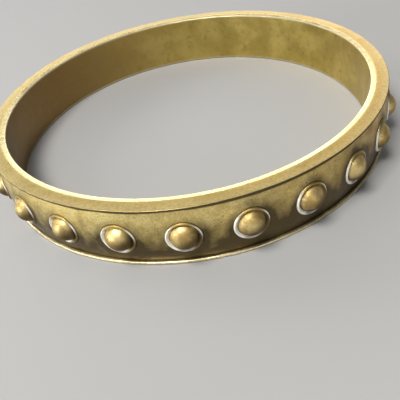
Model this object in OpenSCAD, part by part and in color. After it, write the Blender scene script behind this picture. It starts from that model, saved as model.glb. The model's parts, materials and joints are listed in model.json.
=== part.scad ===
// Slip-on bangle bracelet in brass: a closed hoop of channel section, a crowned strip
// closed round its outside, and a row of domed rivets set through the strip.
// All sizes are in millimetres. The origin is the centre of the face it lies on, +Z is
// the axis of the wrist opening, and the first stud stands on +X.

/* [Hoop] */
// Inside diameter, where the hand goes through
inside_d = 64; // [58:0.5:70]
// Width of the bangle along the wrist
width = 10; // [9:0.1:12]
// Thickness of the inner wall
wall_t = 0.8; // [0.6:0.05:0.9]
// How far the two flanges stand out, measured from the bore
flange_reach = 2.8; // [2.7:0.05:3.1]
// Thickness of each flange
flange_t = 0.4; // [0.4:0.05:0.6]
// Radius on the outer edge of each flange's rim, which stays crisp
rim_round = 0.1; // [0.06:0.02:0.12]
// Radius on the rim's edge beside the strip, which is worn rounder
lip_round = 0.26; // [0.1:0.02:0.26]
// Width of the polished bevel round each mouth of the bore
bevel_w = 0.85; // [0.4:0.05:1]
// Depth of that bevel along the axis
bevel_drop = 0.14; // [0.1:0.02:0.24]

/* [Strip] */
// Thickness of the strip
strip_t = 0.6; // [0.5:0.05:0.7]
// How far the strip's edges lie inside the flanges' rims
strip_setback = 0.55; // [0.45:0.05:0.65]
// How far the middle of the strip stands out beyond its edges
strip_crown = 0.7; // [0.4:0.05:0.8]
// Radius of the strip's two outer corners, which leave a fine groove at each flange
strip_corner_r = 0.16; // [0.1:0.02:0.2]
// Width of the soldered gap between the strip's two ends
solder_gap = 0.35; // [0.2:0.05:0.5]

/* [Studs] */
// How many studs go round the bangle
stud_count = 24; // [12:4:32]
// Diameter of the dome at its foot
dome_d = 4; // [3.6:0.1:4.1]
// Height of the dome above its foot
dome_h = 1.5; // [1.2:0.05:1.8]
// Outside diameter of the raised collar round the dome
collar_d = 5.1; // [5:0.1:5.3]
// Diameter of the collar's crest, where its slope towards the dome begins
crest_d = 4.72; // [4.6:0.02:4.8]
// Height of the collar's crest above the seat
crest_h = 0.36; // [0.28:0.02:0.4]
// Height of the collar's upright outer side
edge_h = 0.22; // [0.14:0.02:0.24]
// Height of the dome's foot above the seat
foot_h = 0.08; // [0.04:0.02:0.14]
// Depth of the flat seat that is cut into the strip for each collar
seat_depth = 0.24; // [0.2:0.01:0.28]
// Diameter of the rivet's shank
shank_d = 2.2; // [1.8:0.1:2.4]
// Diameter of the peened tail inside the strip
tail_d = 3.2; // [2.8:0.1:3.4]
// Thickness of the peened tail
tail_t = 0.4; // [0.3:0.05:0.45]

/* [Hidden] */
$fn = 128;

// The rounds of the hoop and the strip are drawn with more sides than the small rivets.
hoop_fn = 360;
edge_fn = 48;

// A cut runs this far past the face it opens.
past = 0.5;

// Radial room left round each shank and each collar.
shank_room = 0.03;
collar_room = 0.04;

bore_r = inside_d / 2;
wall_r = bore_r + wall_t;
rim_r = bore_r + flange_reach;
middle_z = width / 2;

// The strip lies between the flanges, crowned from its edges to its middle.
strip_low = flange_t;
strip_high = width - flange_t;
strip_half = (strip_high - strip_low) / 2;
strip_edge_r = rim_r - strip_setback;
strip_face_r = strip_edge_r + strip_crown;

// Radius of the crown's arc, from its half chord and its rise, and the arc's centre.
crown_r = (strip_half * strip_half + strip_crown * strip_crown) / (2 * strip_crown);
crown_centre_r = strip_face_r - crown_r;

// Distance from the axis to the flat seats and to the strip's hollow side.
seat_r = strip_face_r - seat_depth;
strip_back_r = strip_face_r - strip_t;

// The tail's flat face touches the hollow side with its rim. That side curves round the
// bangle and across it, and the tighter of the two curves sets the gap behind the face.
hollow_curve_r = min(crown_r - strip_t, strip_back_r);
tail_gap = hollow_curve_r - sqrt(pow(hollow_curve_r, 2) - pow(tail_d / 2, 2));
tail_face_r = strip_back_r - tail_gap;

// The collar's crest is flat over this width.
crest_land = 0.04;

// Radius of the sphere that the dome is cut from.
dome_r = (pow(dome_d / 2, 2) + dome_h * dome_h) / (2 * dome_h);

stud_pitch = 360 / stud_count;

// The strip's ends meet halfway between two studs, a quarter of the way round.
joint_angle = stud_pitch * (floor(90 / stud_pitch) + 0.5);

STUDS = [for (i = [1:stud_count]) str("stud_", i < 10 ? "0" : "", i)];

// A quarter of a disc, which rounds one edge of a rim.
module quarter(r) {
    intersection() {
        circle(r = r, $fn = edge_fn);
        square([r, r]);
    }
}

// The lower flange in section, with both edges of its rim rounded.
module flange_section() {
    translate([wall_r - wall_t / 2, 0])
        square([rim_r - lip_round - wall_r + wall_t / 2, flange_t]);
    translate([wall_r, 0])
        square([rim_r - rim_round - wall_r, flange_t - lip_round]);
    translate([wall_r, rim_round])
        square([rim_r - wall_r, flange_t - lip_round - rim_round]);
    translate([rim_r - rim_round, rim_round])
        mirror([0, 1])
            quarter(rim_round);
    translate([rim_r - lip_round, flange_t - lip_round])
        quarter(lip_round);
}

// The wall and the root of each flange in section, with the bevel at each mouth.
module wall_section() {
    polygon([
        [bore_r, bevel_drop],
        [bore_r + bevel_w, 0],
        [wall_r + bevel_w, 0],
        [wall_r + bevel_w, flange_t],
        [wall_r, flange_t],
        [wall_r, width - flange_t],
        [wall_r + bevel_w, width - flange_t],
        [wall_r + bevel_w, width],
        [bore_r + bevel_w, width],
        [bore_r, width - bevel_drop]
    ]);
}

// Both flanges, less the part that the bevels take away.
module flanges_section() {
    difference() {
        union() {
            flange_section();
            translate([0, width])
                mirror([0, 1])
                    flange_section();
        }
        square([bore_r + bevel_w, width]);
    }
}

module hoop() {
    color([0.80, 0.66, 0.36])
        rotate_extrude($fn = hoop_fn)
            union() {
                wall_section();
                flanges_section();
            }
}

// The strip in section: a crowned band of even thickness, with its outer corners eased.
module strip_section() {
    intersection() {
        difference() {
            translate([crown_centre_r, middle_z])
                circle(r = crown_r, $fn = hoop_fn);
            translate([crown_centre_r, middle_z])
                circle(r = crown_r - strip_t, $fn = hoop_fn);
        }
        union() {
            translate([wall_r, strip_low])
                square([strip_edge_r - strip_corner_r - wall_r, 2 * strip_half]);
            translate([wall_r, strip_low + strip_corner_r])
                square([rim_r - wall_r, 2 * (strip_half - strip_corner_r)]);
            for (z = [strip_low + strip_corner_r, strip_high - strip_corner_r])
                translate([strip_edge_r - strip_corner_r, z])
                    circle(r = strip_corner_r, $fn = edge_fn);
        }
    }
}

// The whole round of the strip, before its studs and its joint.
module strip_ring() {
    rotate_extrude($fn = hoop_fn)
        strip_section();
}

// A block that stands where the strip's two ends meet.
module joint_block() {
    rotate([0, 0, joint_angle])
        translate([wall_r, -solder_gap / 2, 0])
            cube([flange_reach, solder_gap, width]);
}

// Turns what is drawn along +Z to stand outwards at a stud's place.
module at_stud(i) {
    translate([0, 0, middle_z])
        rotate([0, 0, i * stud_pitch])
            rotate([0, 90, 0])
                children();
}

// What each stud takes out of the strip: a flat seat, and a hole for its shank.
module stud_cut() {
    translate([0, 0, seat_r])
        cylinder(d = collar_d + 2 * collar_room, h = seat_depth + past);
    translate([0, 0, strip_back_r - past])
        cylinder(d = shank_d + 2 * shank_room, h = strip_t + 2 * past);
}

module strip() {
    color([0.50, 0.38, 0.18])
        difference() {
            strip_ring();
            joint_block();
            for (i = [0:stud_count - 1])
                at_stud(i)
                    stud_cut();
        }
}

module strip_solder() {
    color([0.62, 0.56, 0.42])
        intersection() {
            strip_ring();
            joint_block();
        }
}

// The head in section, on its seat at Y = 0: X is the distance from the rivet's axis.
module head_section() {
    polygon([
        [0, 0],
        [collar_d / 2, 0],
        [collar_d / 2, edge_h],
        [crest_d / 2 + crest_land, crest_h],
        [crest_d / 2, crest_h],
        [dome_d / 2, foot_h],
        [0, foot_h]
    ]);
    intersection() {
        translate([0, foot_h + dome_h - dome_r])
            circle(r = dome_r);
        translate([0, foot_h / 2])
            square([dome_d / 2, foot_h / 2 + dome_h]);
    }
}

// The shank through the strip, and the tail that the hammer has spread behind it.
module shank_section() {
    translate([0, tail_face_r - seat_r])
        square([shank_d / 2, seat_r - tail_face_r]);
    translate([0, tail_face_r - seat_r - tail_t])
        square([(tail_d - tail_t) / 2, tail_t]);
    translate([(tail_d - tail_t) / 2, tail_face_r - seat_r - tail_t / 2])
        circle(d = tail_t, $fn = edge_fn);
}

module stud(i) {
    color([0.66, 0.51, 0.25])
        at_stud(i)
            translate([0, 0, seat_r])
                rotate_extrude()
                    union() {
                        head_section();
                        shank_section();
                    }
}

hoop();
strip();
strip_solder();
for (i = [0:stud_count - 1])
    stud(i);
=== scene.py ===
"""Aged brass bangle: a flanged hoop, a crowned strip laid round it, and domed rivets.

Everything is in metres, in the CAD model's frame: the bangle lies on Z = 0 with its axis
on Z, and the first rivet stands on +X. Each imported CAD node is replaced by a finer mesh
of the same size, with the small faults of hand work in it.
"""
import json
import math
import random

import bmesh
import bpy
from mathutils import Matrix, Vector, noise


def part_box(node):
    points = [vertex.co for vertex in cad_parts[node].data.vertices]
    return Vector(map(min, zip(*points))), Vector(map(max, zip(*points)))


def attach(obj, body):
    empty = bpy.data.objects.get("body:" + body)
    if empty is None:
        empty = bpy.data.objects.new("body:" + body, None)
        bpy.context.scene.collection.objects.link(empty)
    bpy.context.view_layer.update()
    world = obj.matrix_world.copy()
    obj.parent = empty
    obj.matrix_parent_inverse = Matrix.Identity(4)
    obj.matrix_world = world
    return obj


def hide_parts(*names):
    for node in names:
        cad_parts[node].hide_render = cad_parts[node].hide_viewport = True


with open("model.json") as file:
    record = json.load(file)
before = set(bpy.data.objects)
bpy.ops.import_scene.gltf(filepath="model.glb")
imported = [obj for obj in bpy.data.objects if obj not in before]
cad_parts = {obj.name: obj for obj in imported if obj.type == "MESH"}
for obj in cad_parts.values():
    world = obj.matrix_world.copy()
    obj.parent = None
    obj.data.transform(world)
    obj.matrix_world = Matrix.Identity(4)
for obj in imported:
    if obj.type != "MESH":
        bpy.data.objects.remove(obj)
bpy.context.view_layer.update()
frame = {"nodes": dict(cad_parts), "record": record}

MM = 0.001
TAU = 2.0 * math.pi

# ---------------------------------------------------------------- sizes from the frame

mounts = {m["name"]: m for m in frame["record"]["mounts"]}
bore = mounts["wrist_bore"]["dims"]
hoop_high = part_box("hoop")[1]
strip_low, strip_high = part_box("strip")
stud_low, stud_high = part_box("stud_01")
solder_low, solder_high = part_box("strip_solder")

BORE_R = bore["r_mm"] * MM
BORE_LENGTH = bore["length_mm"] * MM
WIDTH = hoop_high.z
MIDDLE_Z = WIDTH / 2
RIM_R = hoop_high.x
BEVEL_DROP = (WIDTH - BORE_LENGTH) / 2
STRIP_LOW = strip_low.z
STRIP_HIGH = strip_high.z
STRIP_HALF = (STRIP_HIGH - STRIP_LOW) / 2
FLANGE_T = STRIP_LOW
STUDS = sorted(n for n in frame["nodes"] if n.startswith("stud_"))
PITCH = TAU / len(STUDS)
COLLAR_R = (stud_high.y - stud_low.y) / 2
JOINT_ANGLE = math.atan2(solder_low.y + solder_high.y, solder_low.x + solder_high.x)

# Sizes inside the nodes, as the CAD source has them
WALL_T = 0.8 * MM
BEVEL_W = 0.85 * MM
RIM_ROUND = 0.1 * MM
LIP_ROUND = 0.26 * MM
STRIP_T = 0.6 * MM
STRIP_SETBACK = 0.55 * MM
STRIP_CROWN = 0.7 * MM
STRIP_CORNER = 0.16 * MM
SOLDER_GAP = 0.35 * MM
DOME_R = 2.0 * MM
DOME_H = 1.5 * MM
CREST_R = 2.36 * MM
CREST_H = 0.36 * MM
CREST_LAND = 0.04 * MM
EDGE_H = 0.22 * MM
FOOT_H = 0.08 * MM
SEAT_DEPTH = 0.24 * MM
SHANK_R = 1.1 * MM
TAIL_R = 1.6 * MM
TAIL_T = 0.4 * MM
COLLAR_ROOM = 0.04 * MM
SHANK_ROOM = 0.03 * MM

WALL_R = BORE_R + WALL_T
BEVEL_R = BORE_R + BEVEL_W
STRIP_EDGE_R = RIM_R - STRIP_SETBACK
STRIP_FACE_R = STRIP_EDGE_R + STRIP_CROWN
CROWN_R = (STRIP_HALF ** 2 + STRIP_CROWN ** 2) / (2 * STRIP_CROWN)
CROWN_CENTRE_R = STRIP_FACE_R - CROWN_R
SEAT_R = STRIP_FACE_R - SEAT_DEPTH
SEAT_EDGE_R = COLLAR_R + COLLAR_ROOM
HOLE_R = SHANK_R + SHANK_ROOM

# ---------------------------------------------------------------- camera

# The camera stands in front of the bangle and looks down into it, rolled a little.
CAMERA_AZIMUTH = math.radians(6.75)
CAMERA_ELEVATION = math.radians(39.1)
CAMERA_ROLL = math.radians(-11.45)
CAMERA_DISTANCE = 77.6 * MM
CAMERA_LENS = 43.8
CAMERA_SENSOR = 36.0
CAMERA_NEAR = 0.005
CAMERA_FAR = 20.0
AIM_RIGHT = -1.1 * MM
AIM_FORWARD = -21.1 * MM
AIM_UP = -0.3 * MM


def add_camera():
    """The camera, turned about the bangle's axis and rolled about its own."""
    se, ce = math.sin(CAMERA_ELEVATION), math.cos(CAMERA_ELEVATION)
    turn = Matrix.Rotation(CAMERA_AZIMUTH, 3, "Z")
    back = Vector((0, -ce, se))
    right = Vector((1, 0, 0))
    up = Vector((0, se, ce))
    roll_s, roll_c = math.sin(CAMERA_ROLL), math.cos(CAMERA_ROLL)
    x_axis = turn @ (roll_c * right + roll_s * up)
    y_axis = turn @ (roll_c * up - roll_s * right)
    z_axis = turn @ back
    aim = turn @ Vector((AIM_RIGHT, AIM_FORWARD, AIM_UP))
    data = bpy.data.cameras.new("camera")
    data.lens = CAMERA_LENS
    data.sensor_width = CAMERA_SENSOR
    data.clip_start = CAMERA_NEAR
    data.clip_end = CAMERA_FAR
    camera = bpy.data.objects.new("camera", data)
    placed = Matrix((x_axis, y_axis, z_axis)).transposed().to_4x4()
    placed.translation = aim + z_axis * CAMERA_DISTANCE
    camera.matrix_world = placed
    bpy.context.scene.collection.objects.link(camera)
    bpy.context.scene.camera = camera


# ---------------------------------------------------------------- small geometry helpers

ARC_PARTS = 6  # parts of a fillet for each radian that it turns through


def smooth(low, high, x):
    """0 below low, 1 above high, and an even rise between."""
    t = min(1.0, max(0.0, (x - low) / (high - low)))
    return t * t * (3 - 2 * t)


def hill(off, half):
    """1 where off is 0, falling evenly to 0 at half to either side."""
    return 1.0 - smooth(0.0, half, abs(off))


def noise3(x, y, z, size, seed):
    """Smooth noise between -1 and 1; size is that of one feature, and seed moves it."""
    return noise.noise(Vector((x / size + seed, y / size - seed, z / size + 0.5 * seed)))


def rounded(corners, step):
    """A closed outline of points (r, z, mark) through corners (r, z, fillet, mark).

    Each corner becomes an arc of its fillet's radius that keeps the corner's mark.
    Straight stretches get a point each step, without a mark.
    """
    count = len(corners)
    arcs = []
    for i, (r, z, fillet, _) in enumerate(corners):
        here = Vector((r, z))
        before = Vector(corners[i - 1][:2])
        after = Vector(corners[(i + 1) % count][:2])
        to_before = (before - here).normalized()
        to_after = (after - here).normalized()
        half = 0.5 * math.acos(max(-1.0, min(1.0, to_before.dot(to_after))))
        reach = fillet / math.tan(half)
        centre = here + (to_before + to_after).normalized() * (fillet / math.sin(half))
        start = here + to_before * reach - centre
        end = here + to_after * reach - centre
        swing = math.pi - 2 * half
        sign = 1.0 if to_before.x * to_after.y - to_before.y * to_after.x < 0 else -1.0
        parts = max(2, round(swing * ARC_PARTS))
        arc = []
        for k in range(parts):
            a = sign * swing * k / parts
            c, s = math.cos(a), math.sin(a)
            arc.append(centre + Vector((c * start.x - s * start.y, s * start.x + c * start.y)))
        arc.append(centre + end)
        arcs.append(arc)
    outline = []
    for i in range(count):
        outline += [(p.x, p.y, corners[i][3]) for p in arcs[i]]
        gap = arcs[(i + 1) % count][0] - arcs[i][-1]
        parts = int(gap.length / step)
        for k in range(1, parts):
            p = arcs[i][-1] + gap * (k / parts)
            outline.append((p.x, p.y, False))
    return outline


def make_object(name, vertices, faces, attributes=None):
    """A smooth-shaded mesh object with float attributes on its points."""
    mesh = bpy.data.meshes.new(name)
    mesh.from_pydata(vertices, [], faces)
    mesh.update()
    for key, values in (attributes or {}).items():
        layer = mesh.attributes.new(key, "FLOAT", "POINT")
        layer.data.foreach_set("value", values)
    mesh.polygons.foreach_set("use_smooth", [True] * len(mesh.polygons))
    obj = bpy.data.objects.new(name, mesh)
    bpy.context.scene.collection.objects.link(obj)
    return obj


def finish_piece(obj, material, slot, *nodes):
    """Gives a piece its material and its body, and hides the CAD nodes that it stands for."""
    obj.data.materials.clear()
    obj.data.materials.append(material)
    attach(obj, "root")
    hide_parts(*nodes)


# ---------------------------------------------------------------- hoop

HOOP_AROUND = 720
HOOP_STEP = 0.28 * MM
MOUTH_FILLET = 0.10 * MM
BEVEL_FILLET = 1.2 * MM
ROOT_FILLET = 0.15 * MM

# The flanges run out of true: depth and length of a slow wave and a fine ripple outwards,
# and of a sag. The two rims read their noise this far above and below zero, to differ.
WAVE_DEPTH, WAVE_LENGTH, WAVE_APART = 0.05 * MM, 9 * MM, 0.02
RIPPLE_DEPTH, RIPPLE_LENGTH = 0.012 * MM, 1.1 * MM
SAG_DEPTH, SAG_LENGTH, SAG_APART = 0.02 * MM, 7 * MM, 0.05
FACE_RIPPLE = 0.008 * MM

# Small knocks along the two rims
DENT_SEED = 11
DENT_COUNT = 26
DENT_HALF_WIDTH = (0.5 * MM, 1.6 * MM)
DENT_DEPTH = (0.02 * MM, 0.08 * MM)
DENT_LEAN = 0.5

# Where the hoop's masks rise or fall, outwards from the axis
FREE_RISE = (BORE_R + 1.2 * MM, RIM_R - 0.2 * MM)
POLISH_FALL = (BEVEL_R - 0.10 * MM, BEVEL_R + 0.16 * MM)
INNER_FALL = (BORE_R + 0.02 * MM, BORE_R + 0.10 * MM)
# Where the darkening beside the strip's edge fades out, and where it starts from the wall
CHANNEL_DARK_FALL = (STRIP_EDGE_R - 0.05 * MM, STRIP_EDGE_R + 0.15 * MM)
CHANNEL_DARK_START = WALL_R - 0.01 * MM

# How far along the axis from the nearer face the flange is uneven, and its face ends
FREE_DEPTH = 1.5 * FLANGE_T
FACE_DEPTH = 0.6 * FLANGE_T

# Painted shade darkens the upper rim's side where it meets the strip, and no wear is painted
# there; a flange's face wears less than the rounded edges do.
SEAM_W = 0.3 * MM
SEAM_DROP = 0.015 * MM
SEAM_SHADE = 0.9
FLANGE_WEAR = 0.3


def hoop_outline():
    """The hoop's section: a channel with a bevel at each mouth, and four corners marked for
    wear and a painted highlight.
    """
    lower = [
        (BORE_R, BEVEL_DROP, MOUTH_FILLET, True),
        (BEVEL_R, 0.0, BEVEL_FILLET, False),
        (RIM_R, 0.0, RIM_ROUND, False),
        (RIM_R, FLANGE_T, LIP_ROUND, True),
        (WALL_R, FLANGE_T, ROOT_FILLET, False),
    ]
    upper = [(r, WIDTH - z, fillet, worn_and_highlit) for r, z, fillet, worn_and_highlit in reversed(lower)]
    return rounded(lower + upper, HOOP_STEP)


def hoop_dents():
    """Small knocks along the two rims: angle, half width in radians, depth, side."""
    draw = random.Random(DENT_SEED)
    found = []
    for _ in range(DENT_COUNT):
        found.append((
            draw.uniform(0, TAU),
            draw.uniform(*DENT_HALF_WIDTH) / RIM_R,
            draw.uniform(*DENT_DEPTH),
            draw.choice((-1, 1)),
        ))
    return found


def knock_depth(angle, side, dents):
    """How far the knocks push one rim in at an angle."""
    depth_here = 0.0
    for centre, half, depth, which in dents:
        if which == side:
            depth_here += depth * hill(math.remainder(angle - centre, TAU), half)
    return depth_here


def hoop_masks(r, z, free, worn_and_highlit):
    """The masks of one line of points round the hoop, each from 0 to 1."""
    depth = MIDDLE_Z - abs(z - MIDDLE_Z)
    beside_seam = z > MIDDLE_Z and r > RIM_R - SEAM_W
    inner = 1.0 - smooth(*INNER_FALL, r)
    polish = (1.0 - smooth(*POLISH_FALL, r)) * (1.0 - inner)
    # Darker on the flange's inner face beside the strip's edge
    grime_and_shade = 0.0
    if r >= CHANNEL_DARK_START:
        grime_and_shade = smooth(FACE_DEPTH, FLANGE_T, depth) * (1.0 - smooth(*CHANNEL_DARK_FALL, r))
    # Painted shade: a dark line down the upper rim's side
    if beside_seam and z < WIDTH - SEAM_DROP:
        grime_and_shade = max(grime_and_shade, SEAM_SHADE)
    # Marked corners are painted pale as wear; on the lower lip this is also a painted
    # highlight, and beside the seam none is painted.
    wear_and_highlight = 1.0 if worn_and_highlit and not beside_seam else FLANGE_WEAR * free
    return {"wear_and_highlight": wear_and_highlight, "grime_and_shade": grime_and_shade, "polish": polish, "inner": inner}


def off_true(x, y, z, side, free):
    """How far a point of the hoop stands off its true place, outwards and upwards."""
    wave = noise3(x, y, side * WAVE_APART, WAVE_LENGTH, seed=3.0)
    ripple = noise3(x, y, z, RIPPLE_LENGTH, seed=8.0)
    sag = 1.0 + noise3(x, y, side * SAG_APART, SAG_LENGTH, seed=21.0)
    outwards = free * (WAVE_DEPTH * wave + RIPPLE_DEPTH * ripple)
    upwards = -side * free * SAG_DEPTH * sag
    if MIDDLE_Z - abs(z - MIDDLE_Z) < FACE_DEPTH:
        upwards += side * FACE_RIPPLE * (ripple - 1.0)
    return outwards, upwards


def build_hoop():
    """The hoop as one closed ring, its rims uneven and knocked."""
    outline = hoop_outline()
    dents = hoop_dents()
    angles = [TAU * j / HOOP_AROUND for j in range(HOOP_AROUND)]
    knocks = {side: [knock_depth(a, side, dents) for a in angles] for side in (-1, 1)}
    vertices = []
    masks = {"wear_and_highlight": [], "grime_and_shade": [], "polish": [], "inner": []}
    for r, z, worn_and_highlit in outline:
        side = 1 if z > MIDDLE_Z else -1
        on_flange = MIDDLE_Z - abs(z - MIDDLE_Z) < FREE_DEPTH
        free = smooth(*FREE_RISE, r) if on_flange else 0.0
        for key, value in hoop_masks(r, z, free, worn_and_highlit).items():
            masks[key] += [value] * HOOP_AROUND
        for a, knock in zip(angles, knocks[side]):
            c, s = math.cos(a), math.sin(a)
            outwards, upwards = off_true(c * r, s * r, z, side, free)
            push = knock * free
            radius = r + outwards - push
            vertices.append((radius * c, radius * s, z + upwards - side * DENT_LEAN * push))
    faces = []
    for i in range(len(outline)):
        row = i * HOOP_AROUND
        next_row = (i + 1) % len(outline) * HOOP_AROUND
        for j in range(HOOP_AROUND):
            k = (j + 1) % HOOP_AROUND
            faces.append((row + j, row + k, next_row + k, next_row + j))
    hoop = make_object("hoop_channel", vertices, faces, masks)
    finish_piece(hoop, hoop_material(), "hoop_brass", "hoop")


# ---------------------------------------------------------------- strip

# Parts of each mesh: a cell's sides, the rows from its seat to its border, a corner
SIDE_PARTS = 24
FACE_ROWS = 13
CORNER_PARTS = 6

# The hollow side's rows, as shares of the way from the hole to the border
BACK_SPREAD = (0.0, 0.12, 0.45, 1.0)

# The face is beaten in broad and in finer waves, and sunk so that it stays inside true.
BROAD_DEPTH, BROAD_LENGTH = 0.030 * MM, 5.0 * MM
FINER_DEPTH, FINER_LENGTH = 0.010 * MM, 1.6 * MM
FACE_SINK = 0.010 * MM

# The flat seat as rings, each with its painted shade, and the lip thrown up round it:
# distance past the seat's edge, height above the face, painted shade
SEAT_FLAT = (
    (HOLE_R, 0.6),
    (0.5 * (HOLE_R + SEAT_EDGE_R), 0.8),
    (SEAT_EDGE_R - 0.02 * MM, 1.0),
)
SEAT_LIP = (
    (0.0, -0.08 * MM, 1.0),
    (0.006 * MM, -0.035 * MM, 1.0),
    (0.025 * MM, 0.0, 1.0),
    (0.06 * MM, 0.022 * MM, 0.97),
    (0.12 * MM, 0.030 * MM, 0.9),
    (0.20 * MM, 0.018 * MM, 0.8),
)
LIP_LEAST = 0.01 * MM
LIP_FADE = 0.35
# Painted shade round each seat: its strength on the face, and how far it reaches
FACE_SEAT_SHADE = 0.9
SEAT_SHADE_REACH = 1.5 * MM

# Points closer than this are one, and a cell this near the joint stops at the solder.
WELD = 0.002 * MM
NEAR_JOINT = 0.1 * PITCH


def strip_radius(w):
    """Distance of the strip's outer face from the axis, w above its middle line."""
    return CROWN_CENTRE_R + math.sqrt(CROWN_R ** 2 - w * w)


def strip_back(w):
    """Distance of the strip's hollow side from the axis."""
    return CROWN_CENTRE_R + math.sqrt((CROWN_R - STRIP_T) ** 2 - w * w)


def beaten(a, z):
    """How far the strip's worked face stands off its true curve."""
    x, y = STRIP_FACE_R * math.cos(a), STRIP_FACE_R * math.sin(a)
    broad = noise3(x, y, z, BROAD_LENGTH, seed=2.0)
    finer = noise3(x, y, z, FINER_LENGTH, seed=6.0)
    return BROAD_DEPTH * broad + FINER_DEPTH * finer - FACE_SINK


class Strip:
    """Gathers the strip's vertices and faces, and how much painted shade each vertex has."""

    def __init__(self):
        self.vertices = []
        self.faces = []
        self.seat_shades = []

    def add(self, r, angle, z, seat_shade):
        """A vertex given by its distance from the bangle's axis, its angle and height."""
        self.vertices.append((r * math.cos(angle), r * math.sin(angle), z))
        self.seat_shades.append(seat_shade)
        return len(self.vertices) - 1

    def add_local(self, out, across, w, angle, seat_shade):
        """A vertex given along a stud's axis, across it, and up."""
        c, s = math.cos(angle), math.sin(angle)
        self.vertices.append((out * c - across * s, out * s + across * c, MIDDLE_Z + w))
        self.seat_shades.append(seat_shade)
        return len(self.vertices) - 1

    def join(self, first, second, closed):
        """Quads between two rows of vertices."""
        count = len(first)
        for i in range(count if closed else count - 1):
            k = (i + 1) % count
            self.faces.append((first[i], first[k], second[k], second[i]))


def cell_border(low, high, half_w):
    """Points (angle, w) round a cell, anticlockwise from its lower right-hand corner."""
    n = SIDE_PARTS
    border = [(high, half_w * (2 * k / n - 1)) for k in range(n)]
    border += [(high + (low - high) * k / n, half_w) for k in range(n)]
    border += [(low, half_w * (1 - 2 * k / n)) for k in range(n)]
    border += [(low + (high - low) * k / n, -half_w) for k in range(n)]
    return border


def seat_rows(strip, centre, turns):
    """Rings from the stud's hole over its flat seat and up the lip round it."""
    rows = []
    for radius, seat_shade in SEAT_FLAT:
        rows.append([strip.add_local(SEAT_R, radius * math.cos(turn), radius * math.sin(turn),
                                     centre, seat_shade) for turn in turns])
    for past, height, seat_shade in SEAT_LIP:
        radius = SEAT_EDGE_R + past
        row = []
        for turn in turns:
            across, w = radius * math.cos(turn), radius * math.sin(turn)
            face = math.sqrt(strip_radius(w) ** 2 - across ** 2)
            top = face + beaten(centre + math.atan2(across, face), MIDDLE_Z + w)
            out = max(top + height, SEAT_R + LIP_LEAST)
            row.append(strip.add_local(out, across, w, centre, seat_shade))
        rows.append(row)
    return rows


def face_rows(strip, centre, border, turns):
    """Rows that spread from the lip over the beaten face to the cell's border."""
    past, lip_height, _ = SEAT_LIP[-1]
    start = SEAT_EDGE_R + past
    rows = []
    for k in range(1, FACE_ROWS + 1):
        t = k / FACE_ROWS
        lift = lip_height * (1 - smooth(0.0, LIP_FADE, t))
        row = []
        for (angle, w), turn in zip(border, turns):
            across, up = start * math.cos(turn), start * math.sin(turn)
            a = math.asin(across / strip_radius(up)) * (1 - t) + angle * t
            v = up * (1 - t) + w * t
            r = strip_radius(v) + beaten(centre + a, MIDDLE_Z + v) + lift
            away = math.hypot(STRIP_FACE_R * math.sin(a), v) - SEAT_EDGE_R
            seat_shade = FACE_SEAT_SHADE * (1 - smooth(0.0, SEAT_SHADE_REACH, away))
            row.append(strip.add(r, centre + a, MIDDLE_Z + v, seat_shade))
        rows.append(row)
    return rows


def back_rows(strip, centre, border, turns):
    """Rows over the hollow side, from the hole to the cell's border."""
    rows = []
    for t in BACK_SPREAD:
        row = []
        for (angle, w), turn in zip(border, turns):
            across, up = HOLE_R * math.cos(turn), HOLE_R * math.sin(turn)
            a = math.asin(across / strip_back(up)) * (1 - t) + angle * t
            v = up * (1 - t) + w * t
            row.append(strip.add(strip_back(v), centre + a, MIDDLE_Z + v, 0.0))
        rows.append(row)
    return rows


def corner_rows(strip, angles, side, half_w):
    """Rows round one outer corner of the strip, from its face to its edge."""
    corner_r = strip_radius(half_w) - STRIP_CORNER
    rows = []
    for k in range(1, CORNER_PARTS + 1):
        turn = 0.5 * math.pi * k / CORNER_PARTS
        r = corner_r + STRIP_CORNER * math.cos(turn)
        z = MIDDLE_Z + side * (half_w + STRIP_CORNER * math.sin(turn))
        row = []
        for a in angles:
            off = math.cos(turn) * beaten(a, MIDDLE_Z + side * half_w)
            row.append(strip.add(r + off, a, z, 0.0))
        rows.append(row)
    return rows


def build_cell(strip, centre, low, high):
    """The strip round one stud: its seat, its hole, both faces, and both edges."""
    half_w = STRIP_HALF - STRIP_CORNER
    outer = cell_border(low, high, half_w)
    inner = cell_border(low, high, STRIP_HALF)
    turns = [math.atan2(w, STRIP_FACE_R * math.sin(a)) for a, w in outer]

    rows = seat_rows(strip, centre, turns) + face_rows(strip, centre, outer, turns)
    for first, second in zip(rows, rows[1:]):
        strip.join(first, second, closed=True)
    backs = back_rows(strip, centre, inner, turns)
    for first, second in zip(backs, backs[1:]):
        strip.join(second, first, closed=True)
    strip.join(backs[0], rows[0], closed=True)

    for side, begin in ((1, SIDE_PARTS), (-1, 3 * SIDE_PARTS)):
        picks = [(begin + k) % len(outer) for k in range(SIDE_PARTS + 1)]
        angles = [centre + outer[p][0] for p in picks]
        lines = [[rows[-1][p] for p in picks]]
        lines += corner_rows(strip, angles, side, half_w)
        lines.append([backs[-1][p] for p in picks])
        for first, second in zip(lines, lines[1:]):
            strip.join(first, second, closed=False)


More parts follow.
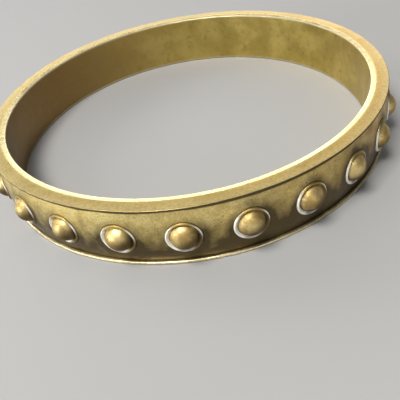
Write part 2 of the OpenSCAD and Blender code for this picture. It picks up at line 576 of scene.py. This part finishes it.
def build_strip():
    """The strip as one cell for each stud, welded, with its two ends closed."""
    strip = Strip()
    gap = 0.5 * SOLDER_GAP / STRIP_FACE_R
    for i in range(len(STUDS)):
        centre = i * PITCH
        low, high = -PITCH / 2, PITCH / 2
        if abs(math.remainder(centre + high - JOINT_ANGLE, TAU)) < NEAR_JOINT:
            high -= gap
        if abs(math.remainder(centre + low - JOINT_ANGLE, TAU)) < NEAR_JOINT:
            low += gap
        build_cell(strip, centre, low, high)
    obj = make_object("strip_band", strip.vertices, strip.faces, {"seat": strip.seat_shades})
    work = bmesh.new()
    work.from_mesh(obj.data)
    bmesh.ops.remove_doubles(work, verts=work.verts, dist=WELD)
    ends = [e for e in work.edges if e.is_boundary]
    bmesh.ops.holes_fill(work, edges=ends, sides=0)
    bmesh.ops.recalc_face_normals(work, faces=work.faces)
    work.to_mesh(obj.data)
    work.free()
    obj.data.polygons.foreach_set("use_smooth", [True] * len(obj.data.polygons))
    finish_piece(obj, strip_material(), "strip_brass", "strip")


# ---------------------------------------------------------------- solder

# Parts of the joint's mesh: up its face, round each corner, down its back, and across
SOLDER_FACE = 40
SOLDER_CORNER = 5
SOLDER_BACK = 20
SOLDER_ACROSS = 8

# The face is sunk in the middle and lumpy; the corners share only this much of that.
SOLDER_SINK = 0.05 * MM
SOLDER_ROUGH = 0.02 * MM
SOLDER_LUMP = 0.9 * MM
CORNER_SHARE = 0.3


def solder_section():
    """The joint's section as (r, w above its middle line, share of the face's faults)."""
    half_w = STRIP_HALF - STRIP_CORNER
    corner = []
    for k in range(1, SOLDER_CORNER + 1):
        turn = 0.5 * math.pi * k / SOLDER_CORNER
        r = strip_radius(half_w) - STRIP_CORNER * (1 - math.cos(turn))
        corner.append((r, half_w + STRIP_CORNER * math.sin(turn), CORNER_SHARE))
    section = []
    for k in range(SOLDER_FACE + 1):
        w = half_w * (2 * k / SOLDER_FACE - 1)
        section.append((strip_radius(w), w, 1.0))
    section += corner
    for k in range(SOLDER_BACK + 1):
        w = STRIP_HALF * (1 - 2 * k / SOLDER_BACK)
        section.append((strip_back(w), w, 0.0))
    section += [(r, -w, share) for r, w, share in reversed(corner)]
    return section


def build_solder():
    """The filler between the strip's two ends, sunk a little and uneven."""
    section = solder_section()
    half = 0.5 * SOLDER_GAP / STRIP_FACE_R
    vertices, faces = [], []
    for k in range(SOLDER_ACROSS + 1):
        t = 2 * k / SOLDER_ACROSS - 1
        a = JOINT_ANGLE + t * half
        for r, w, share in section:
            lump = noise3(0, t, w, SOLDER_LUMP, seed=4)
            sunk = share * (SOLDER_SINK * (1 - t * t) + SOLDER_ROUGH * lump)
            radius = r + share * beaten(a, MIDDLE_Z + w) - sunk
            vertices.append((radius * math.cos(a), radius * math.sin(a), MIDDLE_Z + w))
    count = len(section)
    for k in range(SOLDER_ACROSS):
        for i in range(count):
            j = (i + 1) % count
            faces.append((k * count + i, k * count + j,
                          (k + 1) * count + j, (k + 1) * count + i))
    faces.append(tuple(range(count)))
    faces.append(tuple(reversed(range(SOLDER_ACROSS * count, (SOLDER_ACROSS + 1) * count))))
    obj = make_object("strip_solder_joint", vertices, faces)
    finish_piece(obj, solder_material(), "solder", "strip_solder")


# ---------------------------------------------------------------- studs

STUD_AROUND = 96
DOME_PARTS = 24
SLOPE_PARTS = 6
SHANK_PARTS = 3
TAIL_PARTS = 8

# The collar with its edges eased, from the crest to the seat: distance from the rivet's
# axis, height above the seat, kind
COLLAR_SECTION = (
    (CREST_R - 0.005 * MM, CREST_H - 0.008 * MM, "crest"),
    (CREST_R + 0.5 * CREST_LAND, CREST_H, "crest"),
    (CREST_R + CREST_LAND + 0.015 * MM, CREST_H - 0.012 * MM, "crest"),
    (COLLAR_R - 0.06 * MM, EDGE_H + 0.055 * MM, "crest"),
    (COLLAR_R - 0.015 * MM, EDGE_H, "crest"),
    (COLLAR_R, EDGE_H - 0.04 * MM, "side"),
    (COLLAR_R, 0.04 * MM, "side"),
    (COLLAR_R - 0.02 * MM, 0.0, "hidden"),
)
COLLAR_KINDS = ("slope", "crest", "side")

# How much grime and painted shade darken each kind; a dome's own depends on the place.
KIND_GRIME_SHADE = {"groove": 0.8, "slope": 0.0, "crest": 0.0, "side": 0.3, "hidden": 0.6}

# Grime and painted shade climb a dome this far above its foot. This share of them is there all
# round, and the rest, painted shade, grows downwards over this stretch.
GRIME_SHADE_CLIMB = (FOOT_H + 0.02 * MM, FOOT_H + 0.45 * MM)
GRIME_SHADE_ALL_ROUND = 0.35
SHADE_BELOW = (0.5 * DOME_R, -0.3 * DOME_R)

# Painted shade grows from upper left to lower right over this stretch, leaning this
# much. The middle of the dome and the end of the tail have this share of it.
SHADE_RISE = (0.60 * DOME_R, -0.50 * DOME_R)
SHADE_LEAN = 0.5
SHADE_MIDDLE = 0.3

# Where a collar gets a painted highlight: middle and half width in degrees, anticlockwise
# from its right-hand side as seen from outside, and how strong. Above 1, more of the arc is
# fully so.
GLINT_CRESCENT = (192, 85, 1.8)
GLINT_CREST = ((26, 42, 0.75), (265, 42, 0.8))
GLINT_SLOPE = ((268, 45, 0.45),)
GLINT_RAGGED = 0.25
GLINT_LUMP = 0.35

# How much one rivet may differ from the next. The lumps on a collar are sized in its
# radii, and its unevenness is lowered by this share to stay inside true.
STUD_SEED = 400
NOISE_START, NOISE_STEP = 10.0, 3.7
DOME_TILT = 0.022
DOME_OVAL = 0.012
DOME_LOWER = 0.05
DOME_SHIFT = 0.03 * MM
DOME_LUMP = 0.9 * MM
DOME_ROUGH_OUT = 0.008 * MM
DOME_ROUGH_ROUND = 0.006
DOME_ROUGH_FULL = 0.5
COLLAR_UNEVEN = 0.02 * MM
COLLAR_LUMP = 0.6
COLLAR_LOWER = 0.5


def stud_outline():
    """The rivet's half section as (distance from its axis, height above its seat, kind)."""
    sphere_r = (DOME_R ** 2 + DOME_H ** 2) / (2 * DOME_H)
    sphere_z = FOOT_H + DOME_H - sphere_r
    foot = math.asin(DOME_R / sphere_r)
    if sphere_z > FOOT_H:
        foot = math.pi - foot
    points = []
    for k in range(1, DOME_PARTS + 1):
        t = foot * k / DOME_PARTS
        points.append((sphere_r * math.sin(t), sphere_z + sphere_r * math.cos(t), "dome"))
    points.append((DOME_R + 0.015 * MM, FOOT_H + 0.004 * MM, "groove"))
    for k in range(SLOPE_PARTS):
        t = (k + 0.5) / SLOPE_PARTS
        points.append((DOME_R + (CREST_R - DOME_R) * t,
                       FOOT_H + (CREST_H - FOOT_H) * t, "slope"))
    points += COLLAR_SECTION
    points.append((0.5 * (COLLAR_R + SHANK_R), 0.0, "hidden"))
    points.append((SHANK_R + 0.03 * MM, 0.0, "hidden"))

    # The tail's flat face touches the strip's hollow side with its rim
    hollow = min(CROWN_R - STRIP_T, STRIP_FACE_R - STRIP_T)
    gap = hollow - math.sqrt(hollow ** 2 - TAIL_R ** 2)
    tail_top = STRIP_FACE_R - STRIP_T - gap - SEAT_R
    for k in range(SHANK_PARTS + 1):
        points.append((SHANK_R, tail_top * k / SHANK_PARTS, "hidden"))
    edge = TAIL_R - TAIL_T / 2
    for k in range(TAIL_PARTS + 1):
        t = 0.5 * math.pi - math.pi * k / TAIL_PARTS
        points.append((edge + 0.5 * TAIL_T * math.cos(t),
                       tail_top - 0.5 * TAIL_T + 0.5 * TAIL_T * math.sin(t), "hidden"))
    for share in (0.6, 0.25):
        points.append((share * edge, tail_top - TAIL_T, "hidden"))
    return points


def in_arc(turn, arc):
    """How strongly a turn round a collar lies in an arc (middle, half width, strength)."""
    middle, half, strength = arc
    off = math.remainder(turn - math.radians(middle), TAU)
    return strength * hill(off, math.radians(half))


def glint_strength(turn, kind, ragged):
    """How strong a collar's painted highlight is at a turn round its axis."""
    if kind not in COLLAR_KINDS:
        return 0.0
    arcs = [GLINT_CRESCENT]
    if kind == "crest":
        arcs += GLINT_CREST
    if kind == "slope":
        arcs += GLINT_SLOPE
    painted_glint = max(in_arc(turn, arc) for arc in arcs)
    return min(1.0, painted_glint * (1.0 + GLINT_RAGGED * ragged))


def build_stud(index, outline, material):
    """One rivet, each a little different: its dome's tilt, height and roundness."""
    draw = random.Random(STUD_SEED + index)
    angle = index * PITCH
    tilt = Vector((draw.uniform(-1, 1), draw.uniform(-1, 1))) * DOME_TILT
    oval = draw.uniform(-DOME_OVAL, DOME_OVAL)
    height = 1 - draw.uniform(0.0, DOME_LOWER)
    shift = Vector((draw.uniform(-1, 1), draw.uniform(-1, 1))) * DOME_SHIFT
    seed = NOISE_START + NOISE_STEP * index
    c, s = math.cos(angle), math.sin(angle)
    vertices = []
    masks = {"groove": [], "bead": [], "lower_right_shade": [], "painted_glint": []}

    def place(out, across, up, groove, bead, lower_right_shade, painted_glint):
        out += SEAT_R
        vertices.append((out * c - across * s, out * s + across * c, MIDDLE_Z + up))
        for values, value in zip(masks.values(), (groove, bead, lower_right_shade, painted_glint)):
            values.append(value)

    top_rough = DOME_ROUGH_OUT * noise3(0, 0, 0, 1.0, seed)
    place(FOOT_H + DOME_H * height + top_rough, 0.0, 0.0, 0.0, 0.0, SHADE_MIDDLE, 0.0)
    for r, z, kind in outline:
        for j in range(STUD_AROUND):
            t = TAU * j / STUD_AROUND
            ct, st = math.cos(t), math.sin(t)
            out = z
            across, up = r * ct, r * st
            grime_and_shade = KIND_GRIME_SHADE.get(kind)
            if kind == "dome":
                rise = (z - FOOT_H) / DOME_H
                rough = noise3(across, up, z, DOME_LUMP, seed)
                out = FOOT_H + (z - FOOT_H) * height
                out += rise * (tilt.x * across + tilt.y * up)
                out += DOME_ROUGH_OUT * rough * smooth(0.0, DOME_ROUGH_FULL, rise)
                radius = r * (1 + oval * math.cos(2 * t)) * (1 + DOME_ROUGH_ROUND * rough)
                across = radius * ct + shift.x
                up = radius * st + shift.y
                # Grime and painted shade at the dome's foot, the painted shade growing
                # downwards
                grime_and_shade = 1.0 - smooth(*GRIME_SHADE_CLIMB, z)
                grime_and_shade *= GRIME_SHADE_ALL_ROUND + (1 - GRIME_SHADE_ALL_ROUND) * smooth(*SHADE_BELOW, up)
            if kind in COLLAR_KINDS:
                uneven = noise3(ct, st, 0, COLLAR_LUMP, seed + 5) - COLLAR_LOWER
                out += COLLAR_UNEVEN * z / CREST_H * uneven
            place(out, across, up, grime_and_shade, 1.0 if kind in COLLAR_KINDS else 0.0,
                  # Painted shade at the lower right
                  smooth(*SHADE_RISE, up - SHADE_LEAN * across),
                  # Painted highlight on the collar
                  glint_strength(t, kind, noise3(ct, st, 0, GLINT_LUMP, seed + 9)))
    place(outline[-1][1], 0.0, 0.0, KIND_GRIME_SHADE["hidden"], 0.0, SHADE_MIDDLE, 0.0)

    faces = [(1 + j, 1 + (j + 1) % STUD_AROUND, 0) for j in range(STUD_AROUND)]
    rows = len(outline)
    for i in range(rows - 1):
        a = 1 + i * STUD_AROUND
        b = a + STUD_AROUND
        for j in range(STUD_AROUND):
            k = (j + 1) % STUD_AROUND
            faces.append((a + j, b + j, b + k, a + k))
    last = 1 + (rows - 1) * STUD_AROUND
    end = len(vertices) - 1
    faces += [(last + j, end, last + (j + 1) % STUD_AROUND) for j in range(STUD_AROUND)]
    name = STUDS[index]
    obj = make_object(name.replace("stud", "rivet"), vertices, faces, masks)
    finish_piece(obj, material, "stud_brass", name)


# ---------------------------------------------------------------- materials


class Nodes:
    """Builds a material's node tree with few words."""

    def __init__(self, name):
        self.material = bpy.data.materials.new(name)
        self.material.use_nodes = True
        self.tree = self.material.node_tree
        self.tree.nodes.clear()
        self.shader = self.new("ShaderNodeBsdfPrincipled")
        output = self.new("ShaderNodeOutputMaterial")
        self.link(self.shader.outputs["BSDF"], output.inputs["Surface"])
        self.place = self.new("ShaderNodeTexCoord").outputs["Object"]

    def new(self, kind):
        return self.tree.nodes.new(kind)

    def link(self, a, b):
        self.tree.links.new(a, b)

    def put(self, socket, value):
        """Links a socket, or sets its value."""
        if isinstance(value, bpy.types.NodeSocket):
            self.link(value, socket)
        else:
            socket.default_value = value

    def math(self, operation, a, b=0.0, clamp=False):
        node = self.new("ShaderNodeMath")
        node.operation = operation
        node.use_clamp = clamp
        self.put(node.inputs[0], a)
        self.put(node.inputs[1], b)
        return node.outputs[0]

    def plus(self, a, b, clamp=False):
        return self.math("ADD", a, b, clamp)

    def minus(self, a, b):
        return self.math("SUBTRACT", a, b)

    def times(self, a, b):
        return self.math("MULTIPLY", a, b)

    def attribute(self, name):
        """A mask that is stored on the mesh."""
        node = self.new("ShaderNodeAttribute")
        node.attribute_name = name
        return node.outputs["Fac"]

    def noise(self, scale, detail, rough, source=None, distort=0.0):
        node = self.new("ShaderNodeTexNoise")
        self.link(source or self.place, node.inputs["Vector"])
        node.inputs["Scale"].default_value = scale
        node.inputs["Detail"].default_value = detail
        node.inputs["Roughness"].default_value = rough
        node.inputs["Distortion"].default_value = distort
        return node.outputs["Fac"]

    def ramp(self, value, low, high, to_low=0.0, to_high=1.0):
        """An even change from to_low to to_high as value goes from low to high."""
        node = self.new("ShaderNodeMapRange")
        node.interpolation_type = "SMOOTHSTEP"
        self.put(node.inputs["Value"], value)
        for key, x in (("From Min", low), ("From Max", high),
                       ("To Min", to_low), ("To Max", to_high)):
            node.inputs[key].default_value = x
        return node.outputs["Result"]

    def mix(self, share, a, b):
        """Tone a, with a share of tone b over it."""
        node = self.new("ShaderNodeMix")
        node.data_type = "RGBA"
        self.put(node.inputs["Factor"], share)
        self.put(node.inputs["A"], a)
        self.put(node.inputs["B"], b)
        return node.outputs["Result"]

    def bump(self, height, distance, strength, normal=None):
        node = self.new("ShaderNodeBump")
        node.inputs["Distance"].default_value = distance
        node.inputs["Strength"].default_value = strength
        self.put(node.inputs["Height"], height)
        if normal is not None:
            self.link(normal, node.inputs["Normal"])
        return node.outputs["Normal"]

    def split(self):
        """Object X, Y and Z."""
        node = self.new("ShaderNodeSeparateXYZ")
        self.link(self.place, node.inputs["Vector"])
        return node.outputs

    def round_the_hoop(self, along, radial, up):
        """Coordinates that run along the hoop, out from its axis, and up, scaled."""
        x, y, z = self.split()
        angle = self.math("ARCTAN2", y, x)
        radius = self.math("SQRT", self.plus(self.times(x, x), self.times(y, y)))
        node = self.new("ShaderNodeCombineXYZ")
        self.put(node.inputs[0], self.times(angle, RIM_R * along))
        self.put(node.inputs[1], self.times(radius, radial))
        self.put(node.inputs[2], self.times(z, up))
        return node.outputs[0]

    def finish(self, tone, rough, normal, metallic=1.0):
        """Gives the shader its colour, gloss and surface."""
        self.put(self.shader.inputs["Base Color"], tone)
        self.put(self.shader.inputs["Metallic"], metallic)
        self.put(self.shader.inputs["Roughness"], rough)
        self.put(self.shader.inputs["Normal"], normal)
        return self.material


def colour(r, g, b):
    return (r, g, b, 1.0)


# The hoop's brass on its faces and on its inner wall, what has changed it, and the painted
# shade and highlight laid on it
FACE_DEEP, FACE_LIGHT = colour(0.58, 0.44, 0.15), colour(0.70, 0.55, 0.22)
# Painted shade: a warmer, darker tone for the faces towards +X
FACE_WARM_SHADE = colour(0.66, 0.43, 0.13)
WALL_DEEP, WALL_LIGHT = colour(0.52, 0.39, 0.10), colour(0.68, 0.53, 0.16)
# Painted shade: a dark brown for the inner wall towards -X
WALL_SHADE = colour(0.24, 0.15, 0.06)
HOOP_BLOT = colour(0.34, 0.22, 0.08)
# Pale brass for wear, which also serves as a painted highlight along the lower lip
HOOP_WORN_HIGHLIGHT = colour(0.95, 0.86, 0.58)
HOOP_POLISHED = colour(0.92, 0.80, 0.48)
HOOP_FLECK = colour(0.40, 0.28, 0.09)
HOOP_SPOT = colour(0.16, 0.10, 0.04)
# Near black, for the channel beside the strip and as painted shade along the upper rim's side
HOOP_GRIME_SHADE = colour(0.03, 0.02, 0.01)

# The strip's brass under its patina and painted shade
STRIP_LIGHT, STRIP_DEEP = colour(0.99, 0.81, 0.34), colour(0.78, 0.59, 0.21)
# Painted shade: a warmer, darker tone for the bare brass towards +X
STRIP_WARM_SHADE = colour(0.72, 0.47, 0.17)
# Near-black patina, which also serves as painted shade
STRIP_PATINA_SHADE = colour(0.115, 0.085, 0.04)
STRIP_FLECK = colour(0.16, 0.11, 0.04)
STRIP_SPOT = colour(0.05, 0.032, 0.016)

# The rivets' domes and collars, with their painted shade and painted highlight
DOME_LIGHT, DOME_DEEP = colour(0.86, 0.68, 0.31), colour(0.50, 0.35, 0.13)
# Painted shade at each dome's lower right
DOME_SHADE = colour(0.10, 0.066, 0.028)
DOME_SPOT = colour(0.12, 0.08, 0.04)
# Grime and painted shade round each dome's foot
DOME_GRIME_SHADE = colour(0.07, 0.05, 0.025)
COLLAR_BRASS = colour(0.44, 0.33, 0.13)
# Painted shade at each collar's lower right
COLLAR_SHADE = colour(0.14, 0.10, 0.045)
# A painted highlight on the collars
COLLAR_GLINT = colour(1.0, 0.97, 0.88)

SOLDER_LIGHT, SOLDER_DEEP = colour(0.44, 0.36, 0.19), colour(0.26, 0.20, 0.09)

# How far the pits, the lines and the hammer's marks stand off the surface
LINE_RELIEF = 0.00002
PIT_RELIEF = 0.00003
DEEP_PIT_RELIEF = 0.00004
HAMMER_RELIEF = 0.00006


def hoop_material():
    """Satin brass: polished on the bevels, worn at the edges, darker beside the strip.

    The patina and the painted shade are fixed to the hoop. Painted shade makes its faces
    warmer and darker towards +X, its inner wall browner towards -X, and the upper rim's side
    dark; the wear on the lower lip is also a painted highlight.
    """
    n = Nodes("hoop_brass")
    wear_and_highlight, grime_and_shade = n.attribute("wear_and_highlight"), n.attribute("grime_and_shade")
    polish, inner = n.attribute("polish"), n.attribute("inner")
    x = n.split()[0]
    cloud = n.noise(190, detail=5, rough=0.6)
    blot = n.noise(800, detail=4, rough=0.6)
    speck = n.noise(4200, detail=2, rough=0.5)
    grain = n.noise(2600, detail=4, rough=0.75)

    clouded = n.ramp(cloud, 0.36, 0.66)
    face = n.mix(clouded, FACE_DEEP, FACE_LIGHT)
    # Painted shade: the faces turn warmer and darker towards +X.
    face = n.mix(n.ramp(x, 0.0, RIM_R, to_high=0.6), face, FACE_WARM_SHADE)
    wall = n.mix(clouded, WALL_DEEP, WALL_LIGHT)
    # Painted shade: the inner wall turns browner and darker towards -X.
    wall_shaded = n.ramp(x, -BORE_R, 0.25 * BORE_R, to_low=0.95, to_high=0.0)
    wall = n.mix(wall_shaded, wall, WALL_SHADE)
    tone = n.mix(inner, face, wall)
    tone = n.mix(n.ramp(blot, 0.52, 0.72, to_high=0.45), tone, HOOP_BLOT)
    # Wear, which on the lower lip is also a painted highlight
    tone = n.mix(n.times(wear_and_highlight, 0.75), tone, HOOP_WORN_HIGHLIGHT)
    tone = n.mix(n.times(polish, 0.7), tone, HOOP_POLISHED)
    kept_clean = n.plus(n.times(inner, 0.7), polish, clamp=True)
    flecks = n.times(n.ramp(grain, 0.38, 0.60, to_low=0.45, to_high=0.0),
                     n.minus(1.0, kept_clean))
    tone = n.mix(flecks, tone, HOOP_FLECK)
    tone = n.mix(n.ramp(speck, 0.70, 0.76, to_high=0.7), tone, HOOP_SPOT)
    # Darker beside the strip, and painted shade along the upper rim's side
    tone = n.mix(n.times(grime_and_shade, 0.92), tone, HOOP_GRIME_SHADE)

    rough = n.minus(n.ramp(cloud, 0.3, 0.7, to_low=0.30, to_high=0.42), n.times(polish, 0.14))
    rough = n.plus(rough, n.times(grime_and_shade, 0.3), clamp=True)
    lines = n.noise(1.0, detail=3, rough=0.6, source=n.round_the_hoop(350, 9000, 9000))
    pits = n.noise(2600, detail=3, rough=0.6)
    lined = n.bump(lines, LINE_RELIEF, strength=0.35)
    return n.finish(tone, rough, n.bump(pits, PIT_RELIEF, 0.35, lined))


def strip_material():
    """Brass under a mottled patina and painted shade.

    Both are fixed to the strip. Painted shade darkens it low down, round the seats, along the
    upper edge and towards +X, where painted shade also makes the bare brass warmer.
    """
    n = Nodes("strip_brass")
    seat = n.attribute("seat")
    x, _, z = n.split()
    cloud = n.noise(170, detail=5, rough=0.62, distort=0.4)
    blot = n.noise(560, detail=5, rough=0.62)
    speck = n.noise(3600, detail=2, rough=0.5)
    grain = n.noise(4600, detail=3, rough=0.7)

    height = n.math("DIVIDE", n.minus(z, STRIP_LOW), STRIP_HIGH - STRIP_LOW)
    # Painted shade: darker low down. The noise over it is the mottled patina.
    shade = n.plus(n.ramp(height, 0.0, 0.95, to_low=1.15, to_high=-0.05),
                   n.times(n.minus(cloud, 0.5), 2.3))
    # Painted shade: darker towards +X
    shade = n.plus(shade, n.ramp(x, 0.0, RIM_R, to_high=0.34))
    # Painted shade: a dark line along the upper edge, under the flange
    shade = n.plus(shade, n.ramp(height, 0.94, 0.975, to_high=1.6))
    # Painted shade round each stud's seat
    shade = n.plus(shade, n.times(seat, 0.50), clamp=True)
    tone = n.mix(n.ramp(blot, 0.35, 0.7), STRIP_LIGHT, STRIP_DEEP)
    # Painted shade: the bare brass turns warmer and darker towards +X
    tone = n.mix(n.ramp(x, 0.0, RIM_R, to_high=0.6), tone, STRIP_WARM_SHADE)
    tone = n.mix(shade, tone, STRIP_PATINA_SHADE)
    tone = n.mix(n.ramp(grain, 0.38, 0.60, to_low=0.28, to_high=0.0), tone, STRIP_FLECK)
    tone = n.mix(n.ramp(speck, 0.66, 0.74, to_high=0.8), tone, STRIP_SPOT)

    rough = n.ramp(blot, 0.3, 0.7, to_low=0.34, to_high=0.50)
    lines = n.noise(1.0, detail=3, rough=0.6, source=n.round_the_hoop(300, 3000, 6000))
    pits = n.noise(1900, detail=4, rough=0.62)
    lined = n.bump(lines, LINE_RELIEF, strength=0.3)
    return n.finish(tone, rough, n.bump(pits, DEEP_PIT_RELIEF, 0.45, lined))


def stud_material():
    """Clouded brass domes with painted shade at the lower right, in collars with painted
    highlights in places.
    """
    n = Nodes("stud_brass")
    groove, bead = n.attribute("groove"), n.attribute("bead")
    lower_right_shade, painted_glint = n.attribute("lower_right_shade"), n.attribute("painted_glint")
    cloud = n.noise(520, detail=5, rough=0.65)
    speck = n.noise(3800, detail=2, rough=0.5)

    dome = n.mix(n.ramp(cloud, 0.36, 0.62), DOME_LIGHT, DOME_DEEP)
    # Painted shade at the dome's lower right
    dome = n.mix(n.times(lower_right_shade, 0.92), dome, DOME_SHADE)
    dome = n.mix(n.ramp(speck, 0.68, 0.75, to_high=0.6), dome, DOME_SPOT)
    # Grime and painted shade round the dome's foot, more below
    dome = n.mix(n.times(groove, 0.85), dome, DOME_GRIME_SHADE)
    # Painted shade at the collar's lower right
    collar = n.mix(n.times(lower_right_shade, 0.75), COLLAR_BRASS, COLLAR_SHADE)
    # Painted highlight on the collar
    collar = n.mix(painted_glint, collar, COLLAR_GLINT)
    tone = n.mix(bead, dome, collar)

    # The painted highlight is less metallic and glossier, so it shows white
    metallic = n.ramp(painted_glint, 0.0, 1.0, to_low=1.0, to_high=0.15)
    rough = n.minus(n.ramp(cloud, 0.3, 0.7, to_low=0.48, to_high=0.60), n.times(painted_glint, 0.20))
    pits = n.noise(2400, detail=3, rough=0.6)
    hammered = n.bump(n.noise(1000, detail=3, rough=0.6), HAMMER_RELIEF, strength=0.5)
    return n.finish(tone, rough, n.bump(pits, PIT_RELIEF, 0.35, hammered), metallic)


def solder_material():
    """Dull filler, filed nearly flush."""
    n = Nodes("solder")
    cloud = n.noise(1400, detail=4, rough=0.6)
    tone = n.mix(n.ramp(cloud, 0.35, 0.7), SOLDER_LIGHT, SOLDER_DEEP)
    rough = n.ramp(cloud, 0.3, 0.7, to_low=0.40, to_high=0.55)
    return n.finish(tone, rough, n.bump(cloud, DEEP_PIT_RELIEF, strength=0.5))


# ---------------------------------------------------------------- floor and light

FLOOR_HALF = 3.0
FLOOR_Z = -0.00002
FLOOR_TONE = colour(0.42, 0.42, 0.43)
FLOOR_ROUGH = 0.9

# Soft boxes, all aimed at the bangle: name, place, width, height, power, tint
LIGHTS = (
    ("overhead", (-0.12, -0.16, 0.45), 0.22, 0.16, 2.3, (1.0, 0.97, 0.90)),
    ("front_low", (0.20, -0.55, 0.15), 0.50, 0.20, 0.55, (1.0, 0.98, 0.94)),
    ("back_low", (0.0, 0.50, 0.20), 0.80, 0.14, 0.9, (1.0, 0.96, 0.86)),
    ("back_high", (-0.03, 0.40, 0.42), 0.60, 0.22, 0.34, (1.0, 0.95, 0.84)),
    ("window", (-0.46, 0.22, 0.24), 0.26, 0.16, 0.8, (0.96, 0.98, 1.0)),
    ("left", (-0.42, -0.22, 0.10), 0.30, 0.16, 1.0, (0.94, 0.97, 1.0)),
)
SKY_TONE = colour(0.80, 0.84, 0.90)
SKY_STRENGTH = 0.14


def add_floor():
    """A wide pale floor, just below the face that the bangle lies on."""
    h = FLOOR_HALF
    floor = make_object("floor", [(-h, -h, FLOOR_Z), (h, -h, FLOOR_Z),
                                  (h, h, FLOOR_Z), (-h, h, FLOOR_Z)], [(0, 1, 2, 3)])
    n = Nodes("floor")
    n.shader.inputs["Base Color"].default_value = FLOOR_TONE
    n.shader.inputs["Roughness"].default_value = FLOOR_ROUGH
    floor.data.materials.append(n.material)


def add_lights():
    """The soft boxes, and a dim even sky."""
    centre = Vector((0, 0, MIDDLE_Z))
    for name, place, width, height, power, tint in LIGHTS:
        data = bpy.data.lights.new(name, "AREA")
        data.shape = "RECTANGLE"
        data.size = width
        data.size_y = height
        data.energy = power
        data.color = tint
        light = bpy.data.objects.new(name, data)
        light.location = place
        light.rotation_euler = (centre - Vector(place)).to_track_quat("-Z", "Y").to_euler()
        bpy.context.scene.collection.objects.link(light)
    world = bpy.data.worlds.new("world")
    world.use_nodes = True
    background = world.node_tree.nodes["Background"]
    background.inputs["Color"].default_value = SKY_TONE
    background.inputs["Strength"].default_value = SKY_STRENGTH
    bpy.context.scene.world = world


# ---------------------------------------------------------------- build

add_camera()
build_hoop()
build_strip()
build_solder()
rivet_outline = stud_outline()
rivet_material = stud_material()
for number in range(len(STUDS)):
    build_stud(number, rivet_outline, rivet_material)
add_floor()
add_lights()

bpy.context.scene.view_settings.view_transform = "Standard"
